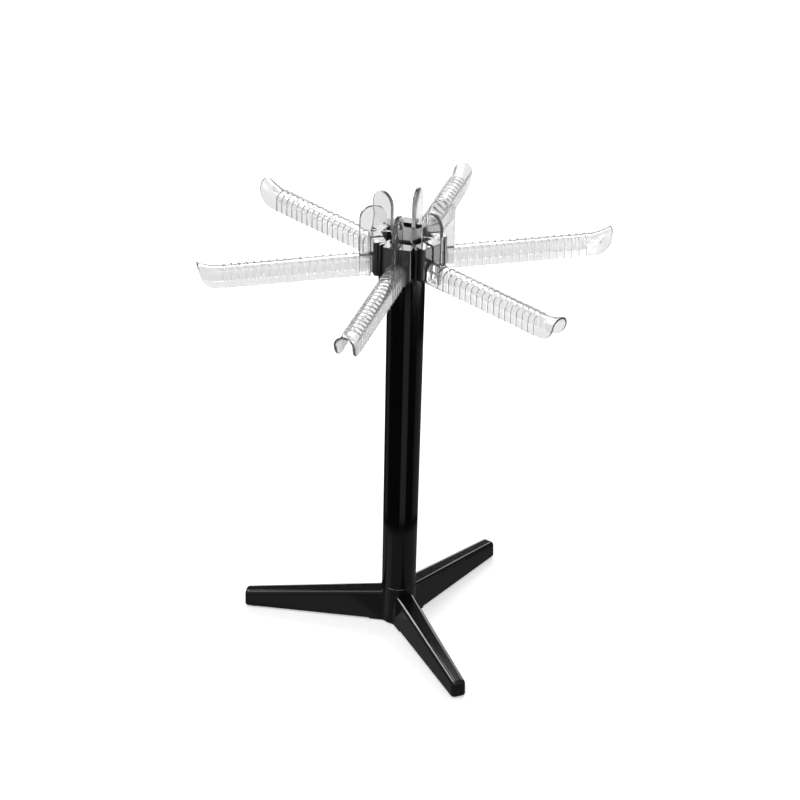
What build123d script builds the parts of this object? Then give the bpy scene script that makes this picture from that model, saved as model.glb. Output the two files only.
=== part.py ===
from build123d import *
import math
import os

# A free-standing pasta drying rack: six clear arms hang in a black six-block hub on a round
# column, which turns in a moulded tripod foot on three rubber pads.
# Lengths are millimetres. The column's axis is Z, the table is z = 0, arm 1 points along +X.

# Number of arms and legs, and how far the legs are turned from arm 1
ARMS = 6
LEGS = 3
LEG_TURN_DEG = 38.8

# Heights, stacked from the table up
PAD_STAND = 1.2
BOSS_HEIGHT = 36.8
COLUMN_LENGTH = 315.2
HUB_HEIGHT = 33.3

# Fits and cuts
RUNNING_GAP = 0.3
SEAT_GAP = 0.1
OVERRUN = 1.0

# Foot: a round boss with a socket for the column, and three legs hollow from below
BOSS_RADIUS = 15.5
BOSS_WALL = 2.8
BOSS_FLOOR = 3.0
BOSS_FLOOR_RISE = 5.0
SEAM_BEVEL = 0.5
LEG_REACH = 140.8
LEG_ROOT_HEIGHT = 31.6
LEG_TIP_HEIGHT = 15.0
LEG_ROOT_WIDTH = 20.3
LEG_TIP_WIDTH = 13.8
LEG_DRAFT_DEG = 2.0
LEG_WALL = 2.4
LEG_EDGE_ROUND = 3.8
LEG_ROOT_ROUND = 5.0
LEG_FOOT_ROUND = 2.0
LEG_RIBS = 4
LEG_RIB_THICKNESS = 1.6
LEG_RIB_LIFT = 3.0

# Rubber pad: a disc with a stem that is pushed into the leg's tip
PAD_RADIUS = 4.6
PAD_INSET = 8.5
PAD_STEM_RADIUS = 2.0
PAD_STEM_LENGTH = 6.0
PAD_POST_WALL = 1.8
PAD_ROUND = 0.4

# Column: a drafted tube, wider at the top, closed at its lower end
COLUMN_BOTTOM_RADIUS = 15.3
COLUMN_TOP_RADIUS = 16.5
COLUMN_WALL = 2.3
SPIGOT_END = 12.0
SPIGOT_LIFT = 0.8

# Screw and washer under the foot
SCREW_RADIUS = 2.0
SCREW_LENGTH = 14.0
SCREW_HEAD_RADIUS = 4.0
SCREW_HEAD_HEIGHT = 2.6
SCREW_HOLE_GAP = 0.4
SCREW_SLOT_WIDTH = 1.1
SCREW_SLOT_DEPTH = 1.2
SCREW_SLOT_LENGTH = 5.0
WASHER_RADIUS = 6.5
WASHER_THICKNESS = 1.0

# Hub: a hexagonal cup with six blocks, six webs and a hexagonal core
HUB_FACE = 32.3
BLOCK_DEPTH = 11.2
BLOCK_WIDTH = 25.2
BLOCK_SIDE_ROUND = 2.0
BLOCK_FOOT_ROUND = 5.0
HUB_FLOOR = 4.0
HUB_RIM = 2.6
HUB_PLUG_LENGTH = 20.0
HUB_PLUG_WALL = 2.4
CORE_FLAT = 13.0
CORE_WALL = 2.6
WEB_THICKNESS = 2.0
WEB_REACH = 32.3
CORING_WALL = 2.4
CORING_SIDE_WALL = 4.0
CORING_ROOF = 3.0
HUB_EDGE_ROUND = 0.5

# Hub cap: a hexagonal lid with a round plug
CAP_THICKNESS = 2.4
CAP_PLUG_LENGTH = 5.0
CAP_PLUG_WALL = 1.6
CAP_EDGE_ROUND = 0.6

# Arm: an upside-down channel with ribs, an upturned tip and an upright finger tab
ARM_REACH = 183.0
ARM_WIDTH = 15.4
ARM_HEIGHT = 17.4
ARM_CROWN = 5.6
ARM_WALL = 1.6
ARM_DROP = 3.3
COLLAR_THICKNESS = 2.0
FIRST_RIB = 45.0
RIB_PITCH = 6.65
RIB_THICKNESS = 1.3
RIB_PROUD = 0.9
RIB_ROUND = 0.4
TIP_LENGTH = 23.0
TIP_RISE = 5.9
TIP_WIDTH = 18.4
TIP_WALL = 2.0
BOW_LENGTH = 16.0
BOW_RISE = 17.7
BOW_LEAN = 2.0
MOUTH_ROUND = 0.5
TAB_RISE = 59.0
TAB_WIDTH = 23.6
TAB_PROUD = 9.7
TAB_THICKNESS = 3.4
TAB_ROUND = 1.0
HOOK_WIDTH = 9.0
HOOK_THICKNESS = 2.4
HOOK_HEIGHT = 24.0

# Places that follow from the sizes above
FOOT_BASE = PAD_STAND
SEAM = FOOT_BASE + BOSS_HEIGHT
HUB_BASE = SEAM + COLUMN_LENGTH
HUB_TOP = HUB_BASE + HUB_HEIGHT
SLIT_FLOOR = HUB_BASE + HUB_FLOOR
BLOCK_BACK = HUB_FACE - BLOCK_DEPTH
ARM_BASE = SLIT_FLOOR - ARM_DROP
ARM_START = HUB_FACE + RUNNING_GAP
SOCKET_RADIUS = BOSS_RADIUS - BOSS_WALL
SPIGOT_RADIUS = SOCKET_RADIUS - RUNNING_GAP
BORE_TOP_RADIUS = COLUMN_TOP_RADIUS - COLUMN_WALL
BORE_LOW_RADIUS = COLUMN_BOTTOM_RADIUS - COLUMN_WALL
BORE_LOW = SEAM + COLUMN_BOTTOM_RADIUS
SCREW_HOLE_RADIUS = SCREW_RADIUS + SCREW_HOLE_GAP
BOSS_FLOOR_BASE = FOOT_BASE + BOSS_FLOOR_RISE
SPIGOT_BASE = BOSS_FLOOR_BASE + BOSS_FLOOR + SPIGOT_LIFT
CORE_BORE = CORE_FLAT - CORE_WALL
PAD_PLACE = LEG_REACH - PAD_INSET
LEG_START = BOSS_RADIUS / 2
TIP_START = ARM_REACH - TIP_LENGTH
RIBS = int((TIP_START - RIB_THICKNESS - FIRST_RIB) / RIB_PITCH) + 1


def turned(shape, degrees):
    """A copy of the shape, turned about the column's axis."""
    return Rot(0, 0, degrees) * shape


def cross_plane(x, z):
    """The upright plane across an arm or leg at x, its own upward line starting at height z."""
    return Plane(origin=(x, 0, z), x_dir=(0, 1, 0), z_dir=(1, 0, 0))


def post(radius, bottom, top):
    """An upright round post on the column's axis."""
    return Pos(0, 0, bottom) * Cylinder(radius, top - bottom, align=(Align.CENTER, Align.CENTER, Align.MIN))


def slab(x0, x1, width, bottom, top):
    """A box from x0 to x1 along the arm, centred across it."""
    return Pos(x0, 0, bottom) * Box(x1 - x0, width, top - bottom, align=(Align.MIN, Align.CENTER, Align.MIN))


def hexagon(flat, bottom, top):
    """A six-sided prism whose flats face the arms, each at the distance flat from the axis."""
    corner = flat / math.cos(math.pi / ARMS)
    outline = Rot(0, 0, 180 / ARMS) * RegularPolygon(corner, ARMS)
    return Pos(0, 0, bottom) * extrude(outline, top - bottom)


def arch(width, height, crown):
    """An arch on a straight base line: upright sides under half an ellipse that is crown high."""
    half = width / 2
    spring = height - crown
    sides = Polyline((-half, spring), (-half, 0), (half, 0), (half, spring))
    return make_face(sides + EllipticalCenterArc((0, spring), half, crown, 0, arc_size=180))


def arm_run(x0, x1, inset):
    """A straight length of the arm's section between x0 and x1, its outline drawn in by the inset."""
    section = arch(ARM_WIDTH - 2 * inset, ARM_HEIGHT - inset, ARM_CROWN - inset)
    return extrude(cross_plane(x0, ARM_BASE) * section, x1 - x0)


def arm_rib(place):
    """One rib that stands proud of the arm's outside, its edges rounded."""
    rib = arm_run(place, place + RIB_THICKNESS, -RIB_PROUD)
    ends = rib.faces().filter_by(Axis.X).edges()
    proud = ends.filter_by(lambda edge: edge.center().Z > ARM_BASE)
    return fillet(proud, min(RIB_ROUND, RIB_THICKNESS / 3))


def leg_solid(reach, root_width, tip_width, root_height, tip_height):
    """A tapering leg along +X with drafted sides, from inside the boss out to the given reach.

    The root's width and height are those it would have at the column's axis.
    """
    sections = []
    for place in (LEG_START, reach):
        width = root_width + (tip_width - root_width) * place / reach
        height = root_height + (tip_height - root_height) * place / reach
        narrowing = height * math.tan(math.radians(LEG_DRAFT_DEG))
        top_half = width / 2 - narrowing
        corners = ((-width / 2, 0), (width / 2, 0), (top_half, height), (-top_half, height))
        sections.append(cross_plane(place, FOOT_BASE) * make_face(Polyline(*corners, close=True)))
    return loft(sections, ruled=True)


def leg_outside():
    """The outside of one leg, its upper and tip edges rounded, and its foot where the tip ends."""
    leg = leg_solid(LEG_REACH, LEG_ROOT_WIDTH, LEG_TIP_WIDTH, LEG_ROOT_HEIGHT, LEG_TIP_HEIGHT)
    above = leg.edges().filter_by(lambda edge: edge.center().Z > FOOT_BASE + OVERRUN)
    rounded = above.filter_by(lambda edge: edge.center().X > LEG_REACH - OVERRUN)
    rounded += above.filter_by(lambda edge: edge.length > LEG_REACH - LEG_START - OVERRUN)
    leg = fillet(rounded, LEG_EDGE_ROUND)
    low = leg.edges().filter_by(lambda edge: edge.center().Z < FOOT_BASE + OVERRUN)
    return fillet(low.filter_by(lambda edge: edge.center().X > PAD_PLACE), LEG_FOOT_ROUND)


def leg_hollow():
    """The space that is open below inside one leg."""
    return leg_solid(
        LEG_REACH - LEG_WALL,
        LEG_ROOT_WIDTH - 2 * LEG_WALL,
        LEG_TIP_WIDTH - 2 * LEG_WALL,
        LEG_ROOT_HEIGHT - LEG_WALL,
        LEG_TIP_HEIGHT - LEG_WALL,
    )


def leg_inside():
    """The cross ribs inside one leg, and the post that takes the pad's stem."""
    spacing = (PAD_PLACE - BOSS_RADIUS) / (LEG_RIBS + 1)
    half = LEG_RIB_THICKNESS / 2
    inside = Pos(PAD_PLACE, 0, 0) * post(PAD_STEM_RADIUS + PAD_POST_WALL, FOOT_BASE, SEAM)
    for index in range(LEG_RIBS):
        place = BOSS_RADIUS + spacing * (index + 1)
        inside += slab(place - half, place + half, LEG_ROOT_WIDTH, FOOT_BASE + LEG_RIB_LIFT, SEAM)
    return inside & leg_hollow()


def leg_roots():
    """The boss's lower part with the rounded corners between it and the legs, seen from above."""
    plan = Circle(BOSS_RADIUS)
    root_length = BOSS_RADIUS + 2 * LEG_ROOT_ROUND
    half = LEG_ROOT_WIDTH / 2
    end_half = half + (LEG_TIP_WIDTH / 2 - half) * root_length / LEG_REACH
    root = make_face(Polyline((0, -half), (root_length, -end_half), (root_length, end_half), (0, half), close=True))
    for index in range(LEGS):
        plan += Rot(0, 0, LEG_TURN_DEG + index * 360 / LEGS) * root
    inner = plan.vertices().filter_by(lambda vertex: math.hypot(vertex.X, vertex.Y) < BOSS_RADIUS + OVERRUN)
    plan = fillet(inner, LEG_ROOT_ROUND)
    fall = (LEG_ROOT_HEIGHT - LEG_TIP_HEIGHT) * root_length / LEG_REACH
    height = LEG_ROOT_HEIGHT - fall - LEG_EDGE_ROUND
    return Pos(0, 0, FOOT_BASE) * extrude(plan, height, taper=LEG_DRAFT_DEG)


def tripod_foot():
    """The foot moulding: legs and boss in one, with the column's socket above its floor."""
    boss = post(BOSS_RADIUS, FOOT_BASE, SEAM)
    boss = chamfer(boss.edges().sort_by(Axis.Z)[-1], SEAM_BEVEL)
    foot = leg_roots()
    turns = [LEG_TURN_DEG + index * 360 / LEGS for index in range(LEGS)]
    outside = leg_outside()
    hollow = leg_hollow()
    inside = leg_inside()
    stem_top = FOOT_BASE + PAD_STEM_LENGTH + SEAT_GAP
    stem_hole = Pos(PAD_PLACE, 0, 0) * post(PAD_STEM_RADIUS + SEAT_GAP, FOOT_BASE - OVERRUN, stem_top)
    for degrees in turns:
        foot += turned(outside, degrees)
    for degrees in turns:
        foot -= turned(hollow, degrees)
        foot += turned(inside, degrees)
        foot -= turned(stem_hole, degrees)
    foot += boss
    foot -= post(SOCKET_RADIUS, BOSS_FLOOR_BASE + BOSS_FLOOR, SEAM + OVERRUN)
    foot -= post(SOCKET_RADIUS, FOOT_BASE - OVERRUN, BOSS_FLOOR_BASE)
    foot -= post(SCREW_HOLE_RADIUS, FOOT_BASE, SEAM)
    return foot


def foot_pad():
    """A rubber pad under the tip of leg 1, its stem in the leg's post."""
    disc = post(PAD_RADIUS, 0, PAD_STAND)
    disc = fillet(disc.edges().sort_by(Axis.Z)[0], PAD_ROUND)
    pad = disc + post(PAD_STEM_RADIUS, PAD_STAND, PAD_STAND + PAD_STEM_LENGTH)
    return Pos(PAD_PLACE, 0, 0) * pad


def column():
    """The tube, its spigot in the foot's socket and its shoulder on the boss's rim."""
    spigot_bore = SPIGOT_RADIUS - COLUMN_WALL
    outline = Polyline(
        (0, SPIGOT_BASE),
        (SPIGOT_RADIUS, SPIGOT_BASE),
        (SPIGOT_RADIUS, SEAM),
        (COLUMN_BOTTOM_RADIUS - SEAM_BEVEL, SEAM),
        (COLUMN_BOTTOM_RADIUS, SEAM + SEAM_BEVEL),
        (COLUMN_TOP_RADIUS, HUB_BASE),
        (BORE_TOP_RADIUS, HUB_BASE),
        (BORE_LOW_RADIUS, BORE_LOW),
        (spigot_bore, SEAM),
        (spigot_bore, SPIGOT_BASE + SPIGOT_END),
        (0, SPIGOT_BASE + SPIGOT_END),
        close=True,
    )
    tube = revolve(Plane.XZ * make_face(outline), Axis.Z)
    screw_top = BOSS_FLOOR_BASE - WASHER_THICKNESS + SCREW_LENGTH
    return tube - post(SCREW_RADIUS, SPIGOT_BASE - OVERRUN, screw_top + SEAT_GAP)


def foot_washer():
    """The steel washer between the screw's head and the floor of the boss."""
    ring = post(WASHER_RADIUS, BOSS_FLOOR_BASE - WASHER_THICKNESS, BOSS_FLOOR_BASE)
    return ring - post(SCREW_HOLE_RADIUS, FOOT_BASE, SEAM)


def foot_screw():
    """The screw that goes up through the boss's floor into the column's closed end."""
    head_top = BOSS_FLOOR_BASE - WASHER_THICKNESS
    head_base = head_top - SCREW_HEAD_HEIGHT
    head = post(SCREW_HEAD_RADIUS, head_base, head_top)
    head = fillet(head.edges().sort_by(Axis.Z)[0], SCREW_HEAD_HEIGHT / 2)
    screw = head + post(SCREW_RADIUS, head_top, head_top + SCREW_LENGTH)
    for degrees in (0, 90):
        slot = slab(
            -SCREW_SLOT_LENGTH / 2,
            SCREW_SLOT_LENGTH / 2,
            SCREW_SLOT_WIDTH,
            head_base - OVERRUN,
            head_base + SCREW_SLOT_DEPTH,
        )
        screw -= turned(slot, degrees)
    return screw


def hub_block():
    """One block of the hub, cored from below, with the slit that takes an arm's tab."""
    block = slab(BLOCK_BACK, HUB_FACE, BLOCK_WIDTH, HUB_BASE, HUB_TOP)
    upright = block.edges().filter_by(Axis.Z).group_by(Axis.X)[-1]
    block = fillet(upright, BLOCK_SIDE_ROUND)
    low = block.edges().filter_by(Axis.X).group_by(Axis.Z)[0]
    block = fillet(low, BLOCK_FOOT_ROUND)
    crown = block.edges().group_by(Axis.Z)[-1].filter_by(lambda edge: edge.center().X > BLOCK_BACK + OVERRUN)
    block = fillet(crown, HUB_EDGE_ROUND)
    slit_width = TAB_THICKNESS + 2 * RUNNING_GAP
    half_width = (BLOCK_WIDTH - slit_width) / 2 - CORING_WALL - CORING_SIDE_WALL
    for side in (-1, 1):
        pocket = slab(
            BLOCK_BACK + CORING_WALL,
            HUB_FACE - CORING_WALL,
            half_width,
            HUB_BASE - OVERRUN,
            HUB_TOP - CORING_ROOF,
        )
        block -= Pos(0, side * (slit_width / 2 + CORING_WALL + half_width / 2), 0) * pocket
    return block


def hub_plug():
    """The tapered ring under the hub that is pushed into the top of the column's bore."""
    bore_taper = (BORE_TOP_RADIUS - BORE_LOW_RADIUS) / (HUB_BASE - BORE_LOW)
    top_radius = BORE_TOP_RADIUS - SEAT_GAP
    low_radius = top_radius - bore_taper * HUB_PLUG_LENGTH
    plug_base = HUB_BASE - HUB_PLUG_LENGTH
    standing = (Align.CENTER, Align.CENTER, Align.MIN)
    plug = Pos(0, 0, plug_base) * Cone(low_radius, top_radius, HUB_PLUG_LENGTH, align=standing)
    return plug - post(low_radius - HUB_PLUG_WALL, plug_base - OVERRUN, HUB_BASE)


def hub():
    """The hub moulding, with the plug that seats it in the top of the column."""
    cup = hexagon(BLOCK_BACK + HUB_RIM, HUB_BASE, HUB_TOP)
    cup -= hexagon(BLOCK_BACK, SLIT_FLOOR, HUB_TOP + OVERRUN)
    cup += hexagon(CORE_FLAT, HUB_BASE, HUB_TOP - CAP_THICKNESS)
    block = hub_block()
    web = slab(CORE_FLAT, WEB_REACH, WEB_THICKNESS, HUB_BASE, HUB_TOP)
    slit = slab(
        BLOCK_BACK - OVERRUN,
        HUB_FACE + OVERRUN,
        TAB_THICKNESS + 2 * RUNNING_GAP,
        SLIT_FLOOR,
        HUB_TOP + OVERRUN,
    )
    for index in range(ARMS):
        cup += turned(block, index * 360 / ARMS)
        cup += turned(web, (index + 1 / 2) * 360 / ARMS)
    for index in range(ARMS):
        cup -= turned(slit, index * 360 / ARMS)
    cup -= hexagon(CORE_FLAT + SEAT_GAP, HUB_TOP - CAP_THICKNESS, HUB_TOP + OVERRUN)
    cup += hub_plug()
    return cup - post(CORE_BORE, HUB_BASE - OVERRUN, HUB_TOP)


def hub_cap():
    """The hexagonal lid on the core, level with the tops of the blocks."""
    lid = hexagon(CORE_FLAT, HUB_TOP - CAP_THICKNESS, HUB_TOP)
    lid = fillet(lid.edges().group_by(Axis.Z)[-1], CAP_EDGE_ROUND)
    plug = post(CORE_BORE - SEAT_GAP, HUB_TOP - CAP_THICKNESS - CAP_PLUG_LENGTH, HUB_TOP - CAP_THICKNESS)
    plug -= post(CORE_BORE - SEAT_GAP - CAP_PLUG_WALL, HUB_BASE, HUB_TOP - CAP_THICKNESS)
    return lid + plug


def arm_tip(inset, end_inset):
    """The flared, upturned end of the arm, lofted through four arches drawn in by the insets."""
    sections = []
    for share in (0, 1 / 3, 2 / 3, 1):
        eased = share * share
        drawn_in = inset + (end_inset - inset) * eased
        width = ARM_WIDTH + (TIP_WIDTH - ARM_WIDTH) * eased
        height = ARM_HEIGHT + TIP_RISE * eased
        crown = ARM_CROWN + (TIP_WIDTH / 2 - ARM_CROWN) * eased
        section = arch(width - 2 * drawn_in, height - drawn_in, crown - drawn_in)
        sections.append(cross_plane(ARM_REACH - TIP_LENGTH * (1 - share), ARM_BASE) * section)
    return loft(sections)


def bow_cutter():
    """What is cut from under the tip, so that its side walls sweep up in a quarter ellipse."""
    end = ARM_REACH + OVERRUN
    turn = ARM_REACH - BOW_LEAN
    start = turn - BOW_LENGTH
    low = ARM_BASE - OVERRUN
    crown = ARM_BASE + BOW_RISE
    top = ARM_BASE + ARM_HEIGHT + TIP_RISE
    sweep = EllipticalCenterArc((start, crown), BOW_LENGTH, BOW_RISE, 270, arc_size=90)
    frame = Polyline((turn, crown), (ARM_REACH, top), (end, top), (end, low), (start, low), (start, ARM_BASE))
    side = Plane.XZ * make_face(sweep + frame)
    return extrude(side, TIP_WIDTH, both=True)


def tab_plate():
    """The flat finger tab with a rounded rim, and the part of it in the slit and in the arm's root."""
    outer = HUB_FACE + TAB_PROUD
    inner = outer - TAB_WIDTH
    spring = SLIT_FLOOR + TAB_RISE - TAB_WIDTH / 2
    sides = Polyline((outer, spring), (outer, ARM_BASE), (ARM_START, ARM_BASE), (ARM_START, SLIT_FLOOR),
                     (inner, SLIT_FLOOR), (inner, spring))
    crown = ThreePointArc((inner, spring), (outer - TAB_WIDTH / 2, SLIT_FLOOR + TAB_RISE), (outer, spring))
    plate = extrude(Plane.XZ * make_face(sides + crown), TAB_THICKNESS / 2, both=True)
    rim = plate.edges().filter_by(lambda edge: edge.length > TAB_WIDTH)
    return fillet(rim, min(TAB_ROUND, TAB_THICKNESS / 3))


def arm():
    """Arm 1, one clear moulding."""
    body = arm_run(ARM_START, TIP_START, 0)
    for index in range(RIBS):
        body += arm_rib(FIRST_RIB + index * RIB_PITCH)
    body += arm_tip(0, 0)
    body -= arm_run(ARM_START, TIP_START, ARM_WALL)
    body -= arm_tip(ARM_WALL, TIP_WALL)
    uncut = body
    body = uncut - bow_cutter()
    mouth = new_edges(uncut, bow_cutter(), combined=body)
    body = fillet(mouth, min(MOUTH_ROUND, TIP_WALL / 4))
    body += arm_run(ARM_START, ARM_START + COLLAR_THICKNESS, -RIB_PROUD)
    body += tab_plate()
    hook_back = BLOCK_BACK - RUNNING_GAP
    body += slab(hook_back - HOOK_THICKNESS, hook_back, HOOK_WIDTH, SLIT_FLOOR, SLIT_FLOOR + HOOK_HEIGHT)
    return body


os.makedirs("parts", exist_ok=True)

export_step(tripod_foot(), "parts/tripod_foot.step")
pad = foot_pad()
for number in range(LEGS):
    export_step(turned(pad, LEG_TURN_DEG + number * 360 / LEGS), f"parts/foot_pad_{number + 1}.step")
export_step(foot_washer(), "parts/foot_washer.step")
export_step(foot_screw(), "parts/foot_screw.step")
export_step(column(), "parts/column.step")
export_step(hub(), "parts/hub.step")
export_step(hub_cap(), "parts/hub_cap.step")
first_arm = arm()
for number in range(ARMS):
    export_step(turned(first_arm, number * 360 / ARMS), f"parts/arm_{number + 1}.step")
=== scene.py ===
import math

import bmesh
import bpy
from mathutils import Matrix, Vector


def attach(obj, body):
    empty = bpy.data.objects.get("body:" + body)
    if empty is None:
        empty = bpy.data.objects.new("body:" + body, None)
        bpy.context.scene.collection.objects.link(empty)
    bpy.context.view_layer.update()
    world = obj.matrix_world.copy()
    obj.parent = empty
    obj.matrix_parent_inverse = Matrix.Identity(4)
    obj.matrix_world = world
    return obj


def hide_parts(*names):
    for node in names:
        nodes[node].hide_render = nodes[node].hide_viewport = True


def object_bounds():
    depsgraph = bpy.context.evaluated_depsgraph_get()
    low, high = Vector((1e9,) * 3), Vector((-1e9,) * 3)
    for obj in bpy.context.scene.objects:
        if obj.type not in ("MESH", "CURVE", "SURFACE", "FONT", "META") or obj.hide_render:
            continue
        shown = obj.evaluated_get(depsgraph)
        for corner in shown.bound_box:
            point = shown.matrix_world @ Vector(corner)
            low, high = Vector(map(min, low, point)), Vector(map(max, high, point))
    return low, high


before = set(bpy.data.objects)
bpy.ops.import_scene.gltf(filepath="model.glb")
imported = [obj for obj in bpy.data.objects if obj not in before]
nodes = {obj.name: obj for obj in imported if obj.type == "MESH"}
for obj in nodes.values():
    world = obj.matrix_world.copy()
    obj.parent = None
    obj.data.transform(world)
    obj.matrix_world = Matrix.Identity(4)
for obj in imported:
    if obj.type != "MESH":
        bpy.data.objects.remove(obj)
cad_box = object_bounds()

# The photograph is taken from a little above the arms with a long lens. The camera was fitted to
# the arm tips, the finger tabs, the hub and the column, and it is rolled a little.
VIEW_AZIMUTH = math.radians(-14.236)
VIEW_ELEVATION = math.radians(28.663)
VIEW_ROLL = math.radians(1.369)
VIEW_DISTANCE = 2.648
VIEW_TARGET = Vector((-0.0028, 0.0007, 0.2251))
VIEW_LENS_MM = 135.85
VIEW_ENDS = 20

towards_camera = Vector((
    math.sin(VIEW_AZIMUTH) * math.cos(VIEW_ELEVATION),
    -math.cos(VIEW_AZIMUTH) * math.cos(VIEW_ELEVATION),
    math.sin(VIEW_ELEVATION),
))
level_right = Vector((0, 0, 1)).cross(towards_camera).normalized()
level_up = towards_camera.cross(level_right)
picture_right = level_right * math.cos(VIEW_ROLL) + level_up * math.sin(VIEW_ROLL)
picture_up = level_up * math.cos(VIEW_ROLL) - level_right * math.sin(VIEW_ROLL)

camera_data = bpy.data.cameras.new("camera")
camera_data.lens = VIEW_LENS_MM
camera_data.clip_end = VIEW_ENDS
camera = bpy.data.objects.new("camera", camera_data)
turned = Matrix((picture_right, picture_up, towards_camera)).transposed().to_4x4()
camera.matrix_world = Matrix.Translation(VIEW_TARGET + towards_camera * VIEW_DISTANCE) @ turned
bpy.context.scene.collection.objects.link(camera)
bpy.context.scene.camera = camera
bpy.context.scene.view_settings.view_transform = "Standard"


# The studio's lamps: three large soft boxes light the rack. Its level and rounded faces mirror a
# small panel behind the hub and three strips, which light nothing else.
BEHIND_AZIMUTH = 76
TAB_RISE = 0.03
HUB_TOP = Vector((0, 0, cad_box[1].z - TAB_RISE))
LEG_EDGES = Vector((0.02, -0.03, 0.02))
RACK_MIDDLE = Vector((0, 0, 0.3))


def direction(azimuth, elevation=0.0):
    """The unit vector towards that azimuth and elevation, both in degrees."""
    level = math.cos(math.radians(elevation))
    return Vector((
        math.cos(math.radians(azimuth)) * level,
        math.sin(math.radians(azimuth)) * level,
        math.sin(math.radians(elevation)),
    ))


def soft_box(name, azimuth, elevation, distance, width, height, brightness, aim=RACK_MIDDLE):
    """A rectangular lamp on that side of its aim, as bright as a surface of that brightness."""
    lamp_data = bpy.data.lights.new(name, "AREA")
    lamp_data.shape = "RECTANGLE"
    lamp_data.size = width
    lamp_data.size_y = height
    lamp_data.energy = brightness * math.pi * width * height
    lamp = bpy.data.objects.new(name, lamp_data)
    side = direction(azimuth, elevation)
    lamp.location = aim + side * distance
    lamp.rotation_euler = side.to_track_quat("Z", "Y").to_euler()
    lamp.visible_camera = False
    bpy.context.scene.collection.objects.link(lamp)
    return lamp


soft_box("box_behind", BEHIND_AZIMUTH, 34, 1.5, 1.3, 0.55, 5.5).visible_glossy = False
soft_box("box_left", 190, 50, 1.6, 0.9, 1.1, 2.0)
soft_box("box_front", 262, 65, 1.8, 1.4, 0.8, 1.6)

# The hub's level tops mirror the panel, also where a clear tab stands before them.
panel = soft_box("panel_behind", BEHIND_AZIMUTH, 25.5, 0.3, 0.2, 0.12, 4.7, HUB_TOP)
panel.visible_diffuse = False

# Two strips draw the edges of the front leg, and the low one the far edges of the other two.
for strip in (
    soft_box("strip_left", 130, 42, 1.0, 0.42, 0.42, 9.0, LEG_EDGES),
    soft_box("strip_right", 53, 22, 1.0, 0.22, 0.5, 3.0, LEG_EDGES),
    soft_box("strip_low", 80, 7, 1.4, 0.9, 0.3, 3.5, LEG_EDGES),
):
    strip.visible_diffuse = False
    strip.visible_transmission = False


# The studio's room: even and white where it is looked at or seen through clear plastic. What is
# mirrored of it is grey, and darkest behind the rack, so that black plastic stays black.
ROOM_BRIGHTNESS = 0.4
INNER_MIRROR = 0.46
OUTER_MIRROR = 0.1
SIDE_MIRROR = 0.4
SIDE_BEGINS = 0.45
SIDE_FULL = -0.1


class Wire:
    """One output in a node tree. Sums and products of wires add the Math nodes for them."""

    def __init__(self, tree, socket):
        self.tree = tree
        self.socket = socket

    def math(self, operation, first, second):
        return self.tree.node("Math", {"operation": operation}, {0: first, 1: second})

    def __add__(self, other):
        return self.math("ADD", self, other)

    def __rsub__(self, other):
        return self.math("SUBTRACT", other, self)

    def __mul__(self, other):
        return self.math("MULTIPLY", self, other)

    __radd__ = __add__
    __rmul__ = __mul__

    def least(self, other):
        return self.math("MINIMUM", self, other)

    def fade(self, start, end):
        """Rises smoothly from 0 to 1 while this value goes from start to end."""
        return self.tree.node("MapRange", {"interpolation_type": "SMOOTHSTEP"}, {
            "Value": self,
            "From Min": start,
            "From Max": end,
        })

    def blend(self, first, second):
        """The colour that has this share of the second one in the first."""
        return self.tree.node("Mix", {"data_type": "RGBA"}, {
            "Factor": self,
            6: first,
            7: second,
        }, output=2)


class Tree:
    """A node tree that is filled by one method, node()."""

    def __init__(self, owner):
        owner.use_nodes = True
        self.tree = owner.node_tree
        self.tree.nodes.clear()

    def node(self, kind, settings=None, sockets=None, output=0):
        made = self.tree.nodes.new("ShaderNode" + kind)
        for name, value in (settings or {}).items():
            setattr(made, name, value)
        for name, value in (sockets or {}).items():
            if isinstance(value, Wire):
                self.tree.links.new(value.socket, made.inputs[name])
            else:
                made.inputs[name].default_value = value
        return Wire(self, made.outputs[output]) if made.outputs else None


def sight(tree):
    """How a ray came: seen through clear plastic, mirrored inside it, or mirrored outside it."""
    mirrored = tree.node("LightPath", output="Glossy Depth").least(1.0)
    inside = tree.node("LightPath", output="Transmission Depth").least(1.0)
    through = tree.node("LightPath", output="Is Transmission Ray") * (1 - mirrored)
    return through, mirrored * inside, mirrored * (1 - inside)


room = bpy.data.worlds.new("room")
bpy.context.scene.world = room
room_tree = Tree(room)
through, inner, outer = sight(room_tree)
looked_at = room_tree.node("LightPath", output="Is Camera Ray") + through
behind = room_tree.node("VectorMath", {"operation": "DOT_PRODUCT"}, {
    0: room_tree.node("TexCoord", output="Generated"),
    1: direction(BEHIND_AZIMUTH),
}, output=1)
sideways = behind.fade(SIDE_BEGINS, SIDE_FULL)
room_tree.node("OutputWorld", sockets={
    "Surface": room_tree.node("Background", sockets={
        "Color": (1, 1, 1, 1),
        "Strength": (
            ROOM_BRIGHTNESS
            + looked_at * (1 - ROOM_BRIGHTNESS)
            + inner * (INNER_MIRROR - ROOM_BRIGHTNESS)
            + outer * (OUTER_MIRROR - ROOM_BRIGHTNESS + sideways * (SIDE_MIRROR - OUTER_MIRROR))
        ),
    }),
})


# The studio's table: wide and pale, with the rack's soft shadow on it. Painted reflections lie on
# it: glowing patches that only the black faces and the insides of the clear arms mirror, some
# bright and some hardly lighter.
TABLE_HALF = 6.0
TABLE_ALBEDO = 0.82
NEAR_GLOW = 0.5
FAR_GLOW = 0.4
FAR_BEGINS = 0.5
FAR_FULL = 2.5
SEEN_THROUGH = 0.96
TABLE_MIRROR = 0.02
PATCH_EDGE_DEG = 4
PATCH_EDGE = 0.012
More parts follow.
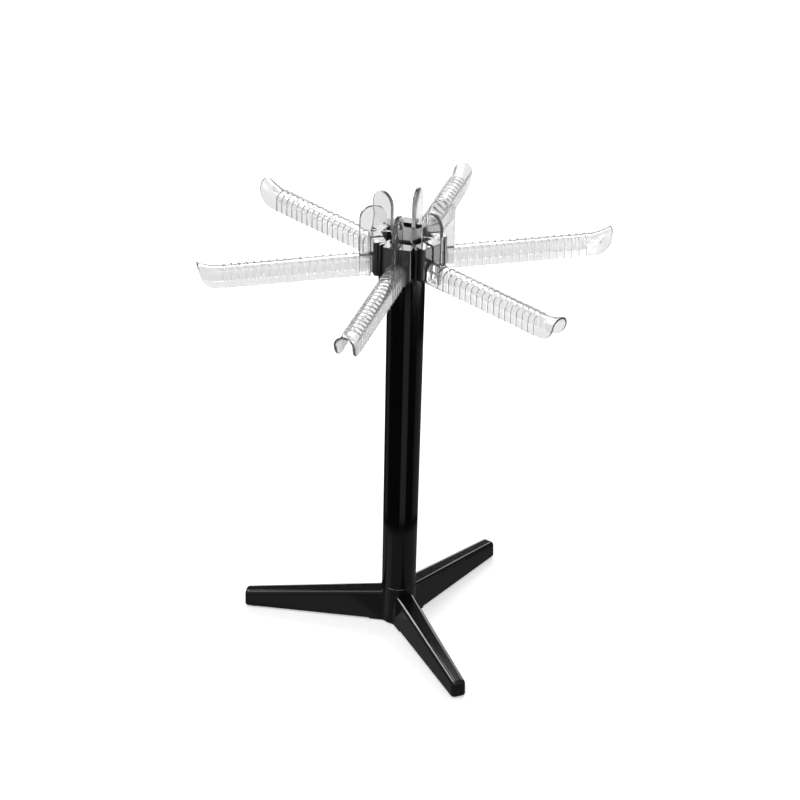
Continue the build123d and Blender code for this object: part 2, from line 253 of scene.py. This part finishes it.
# Each painted reflection patch: azimuth and half its spread in degrees, nearest and farthest
# distance from the column, brightness
PAINTED_REFLECTION_PATCHES = (
    (104, 15, 0.73, 0.87, 1.45),
    (224, 15, 0.73, 0.87, 0.9),
    (344, 18, 0.73, 0.93, 7.2),
    (310, 12, 0.76, 0.88, 10.0),
    (44, 15, 0.86, 0.98, 1.0),
    (268, 17, 0.2, 0.68, 0.3),
    (10, 34, 0.2, 0.55, 0.11),
    (146, 12, 0.2, 0.68, 0.12),
    (185, 18, 0.03, 0.16, 0.12),
    (300, 176, 0.0, 0.17, 0.15),
)
# The brightest that a painted reflection patch comes out where clear plastic has a part in
# mirroring it
MOST_INSIDE = 5.8


def painted_reflection_patch(distance, bearing, azimuth, spread, nearest, farthest, brightness):
    """A painted reflection patch that glows on the table for mirrored rays only: its brightness at
    each place there, its edges soft.
    """
    facing = bearing.tree.node("VectorMath", {"operation": "DOT_PRODUCT"}, {
        0: bearing,
        1: direction(azimuth),
    }, output=1)
    across = facing.fade(
        math.cos(math.radians(spread + PATCH_EDGE_DEG)),
        math.cos(math.radians(spread - PATCH_EDGE_DEG)),
    )
    near_edge = distance.fade(nearest - PATCH_EDGE, nearest)
    far_edge = distance.fade(farthest, farthest + PATCH_EDGE)
    return across * near_edge * (1 - far_edge) * brightness


table_paint = bpy.data.materials.new("pale_table")
table_tree = Tree(table_paint)
through, inner, outer = sight(table_tree)
table_place = table_tree.node("TexCoord", output="Object")
table_distance = table_tree.node("VectorMath", {"operation": "LENGTH"}, {0: table_place}, output=1)
table_bearing = table_tree.node("VectorMath", {"operation": "NORMALIZE"}, {0: table_place})
table_glow = NEAR_GLOW + table_distance.fade(FAR_BEGINS, FAR_FULL) * FAR_GLOW
# The painted reflections: the patches' glow, added up. Only mirrored rays see it.
painted_reflections = sum(painted_reflection_patch(table_distance, table_bearing, *card) for card in PAINTED_REFLECTION_PATCHES)
lit_table = table_tree.node("AddShader", sockets={
    0: table_tree.node("BsdfDiffuse", sockets={
        "Color": (TABLE_ALBEDO, TABLE_ALBEDO, TABLE_ALBEDO, 1),
    }),
    1: table_tree.node("Emission", sockets={
        "Strength": table_tree.node("LightPath", output="Is Camera Ray") * table_glow,
    }),
})
table_tree.node("OutputMaterial", sockets={
    "Surface": table_tree.node("MixShader", sockets={
        0: through + inner + outer,
        1: lit_table,
        # Rays seen through clear plastic find the table evenly glowing, and mirrored rays find it
        # glowing with the painted reflection patches.
        2: table_tree.node("Emission", sockets={
            "Strength": (
                through * SEEN_THROUGH
                + inner * (INNER_MIRROR + painted_reflections.least(MOST_INSIDE))
                + outer * (TABLE_MIRROR + painted_reflections)
            ),
        }),
    }),
})
table_mesh = bpy.data.meshes.new("table")
table_bm = bmesh.new()
bmesh.ops.create_grid(table_bm, x_segments=1, y_segments=1, size=TABLE_HALF)
table_bm.to_mesh(table_mesh)
table_bm.free()
table_mesh.materials.append(table_paint)
table = bpy.data.objects.new("table", table_mesh)
bpy.context.scene.collection.objects.link(table)


# The foot: one black gloss injection moulding, legs and boss together, with a polished mould's
# surface. Its material serves every black moulding, each with its own gloss and tint.
BLACK_IOR = 1.53
DARK_TINT = (0.8, 0.8, 0.84)
LIGHT_TINT = (1.25, 1.22, 1.22)
SPECK_RADIUS = 0.05
CLOUD_DULLING = 0.08
DUST_DULLING = 0.25
PIT_DEPTH = 0.25
RIPPLE_HEIGHT = 0.0004


def moulded_black(name, shade, roughness, grain):
    """Black plastic with a polished mould's faint ripple, fine dust and slow changes of gloss."""
    paint = bpy.data.materials.new(name)
    tree = Tree(paint)
    place = tree.node("TexCoord", output="Object")
    ripple = tree.node("TexNoise", sockets={"Vector": place, "Scale": 38.0, "Detail": 3.0})
    pits = tree.node("TexNoise", sockets={"Vector": place, "Scale": 2200.0, "Detail": 2.0})
    clouds = tree.node("TexNoise", sockets={
        "Vector": place,
        "Scale": 14.0,
        "Detail": 5.0,
        "Roughness": 0.6,
    })
    specks = tree.node("MapRange", {"clamp": True}, {
        "Value": tree.node("TexVoronoi", sockets={"Vector": place, "Scale": 900.0}),
        "From Min": SPECK_RADIUS,
        "From Max": 0.0,
    })
    dust = specks * clouds
    tree.node("OutputMaterial", sockets={
        "Surface": tree.node("BsdfPrincipled", sockets={
            "Base Color": clouds.blend(
                (*(shade * part for part in DARK_TINT), 1),
                (*(shade * part for part in LIGHT_TINT), 1),
            ),
            "Roughness": roughness + clouds * CLOUD_DULLING + dust * DUST_DULLING,
            "IOR": BLACK_IOR,
            "Normal": tree.node("Bump", sockets={
                "Strength": grain,
                "Distance": RIPPLE_HEIGHT,
                "Height": ripple + pits * PIT_DEPTH,
            }),
        }),
    })
    return paint


def dress(node_name, paint):
    """Gives a CAD node that keeps its own mesh its finished material."""
    mesh = nodes[node_name].data
    mesh.materials.clear()
    mesh.materials.append(paint)


dress("tripod_foot", moulded_black("foot_black", 0.0015, 0.10, 0.05))

# The pads: black rubber buttons pushed into the legs' ends, matte, with a fine grain that has worn
# lighter in places.
RUBBER_DARK = (0.012, 0.012, 0.012, 1)
RUBBER_WORN = (0.035, 0.034, 0.033, 1)

rubber = bpy.data.materials.new("pad_rubber")
rubber_tree = Tree(rubber)
rubber_grain = rubber_tree.node("TexNoise", sockets={
    "Vector": rubber_tree.node("TexCoord", output="Object"),
    "Scale": 1500.0,
    "Detail": 4.0,
})
rubber_tree.node("OutputMaterial", sockets={
    "Surface": rubber_tree.node("BsdfPrincipled", sockets={
        "Base Color": rubber_grain.blend(RUBBER_DARK, RUBBER_WORN),
        "Roughness": 0.6 + rubber_grain * 0.25,
        "Normal": rubber_tree.node("Bump", sockets={
            "Strength": 0.3,
            "Distance": 0.0002,
            "Height": rubber_grain,
        }),
    }),
})
for number in (1, 2, 3):
    dress(f"foot_pad_{number}", rubber)

# The screw and washer under the boss: zinc plated steel, the washer stamped, the screw turned. The
# screw is the smoother of the two.
ZINC_DARK = (0.52, 0.53, 0.55, 1)
ZINC_LIGHT = (0.68, 0.67, 0.64, 1)

for steel_name, roughness in (("foot_washer", 0.34), ("foot_screw", 0.26)):
    steel = bpy.data.materials.new(steel_name + "_steel")
    steel_tree = Tree(steel)
    plating = steel_tree.node("TexNoise", sockets={
        "Vector": steel_tree.node("TexCoord", output="Object"),
        "Scale": 700.0,
        "Detail": 6.0,
    })
    steel_tree.node("OutputMaterial", sockets={
        "Surface": steel_tree.node("BsdfPrincipled", sockets={
            "Base Color": plating.blend(ZINC_DARK, ZINC_LIGHT),
            "Metallic": 1.0,
            "Roughness": roughness + plating * 0.15,
            "Normal": steel_tree.node("Bump", sockets={
                "Strength": 0.2,
                "Distance": 0.0001,
                "Height": plating,
            }),
        }),
    })
    dress(steel_name, steel)

# The column: a drafted black tube, moulded in one, that turns in the foot's socket. Its mould is
# polished like the foot's, and it is the glossiest piece.
dress("column", moulded_black("column_black", 0.0012, 0.06, 0.06))

# The hub and its lid: two black mouldings, the lid pushed into the hub. The lid's surface is much
# less glossy than the hub's, so it comes out an even grey.
dress("hub", moulded_black("hub_black", 0.022, 0.09, 0.05))
dress("hub_cap", moulded_black("cap_black", 0.022, 0.34, 0.08))

# The arms: clear mouldings of a stiff crystal plastic, tab, channel and tip in one. Their polished
# faces bend the light, and the longer its way through the plastic, the greyer it comes out.
CLEAR_IOR = 1.49
CLEAR_SHARE = 0.95
CLEAR_TINT = (0.985, 0.987, 0.99, 1)
ABSORPTION_TINT = (0.5, 0.5, 0.52, 1)
ABSORPTION_PER_M = 40.0
CREASE = math.radians(30)
SAME_PLACE = 1e-6

clear = bpy.data.materials.new("clear_arm")
clear_tree = Tree(clear)
clear_flow = clear_tree.node("TexNoise", sockets={
    "Vector": clear_tree.node("TexCoord", output="Object"),
    "Scale": 60.0,
    "Detail": 3.0,
})
clear_tree.node("OutputMaterial", sockets={
    "Surface": clear_tree.node("BsdfPrincipled", sockets={
        "Base Color": CLEAR_TINT,
        "Roughness": 0.01 + clear_flow * 0.03,
        "IOR": CLEAR_IOR,
        "Transmission Weight": CLEAR_SHARE,
        "Normal": clear_tree.node("Bump", sockets={
            "Strength": 0.05,
            "Distance": 0.0004,
            "Height": clear_flow,
        }),
    }),
    "Volume": clear_tree.node("VolumeAbsorption", sockets={
        "Color": ABSORPTION_TINT,
        "Density": ABSORPTION_PER_M,
    }),
})

for number in range(1, 7):
    arm_shape = bmesh.new()
    arm_shape.from_mesh(nodes[f"arm_{number}"].data)
    bmesh.ops.remove_doubles(arm_shape, verts=arm_shape.verts, dist=SAME_PLACE)
    bmesh.ops.dissolve_degenerate(arm_shape, edges=arm_shape.edges, dist=SAME_PLACE)
    for face in arm_shape.faces:
        face.smooth = True
    for edge in arm_shape.edges:
        edge.smooth = edge.calc_face_angle(0) < CREASE
    arm_mesh = bpy.data.meshes.new(f"clear_arm_{number}")
    arm_shape.to_mesh(arm_mesh)
    arm_shape.free()
    arm_mesh.materials.append(clear)
    arm = bpy.data.objects.new(f"clear_arm_{number}", arm_mesh)
    bpy.context.scene.collection.objects.link(arm)
    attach(arm, f"rack_arm_{number}")
    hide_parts(f"arm_{number}")
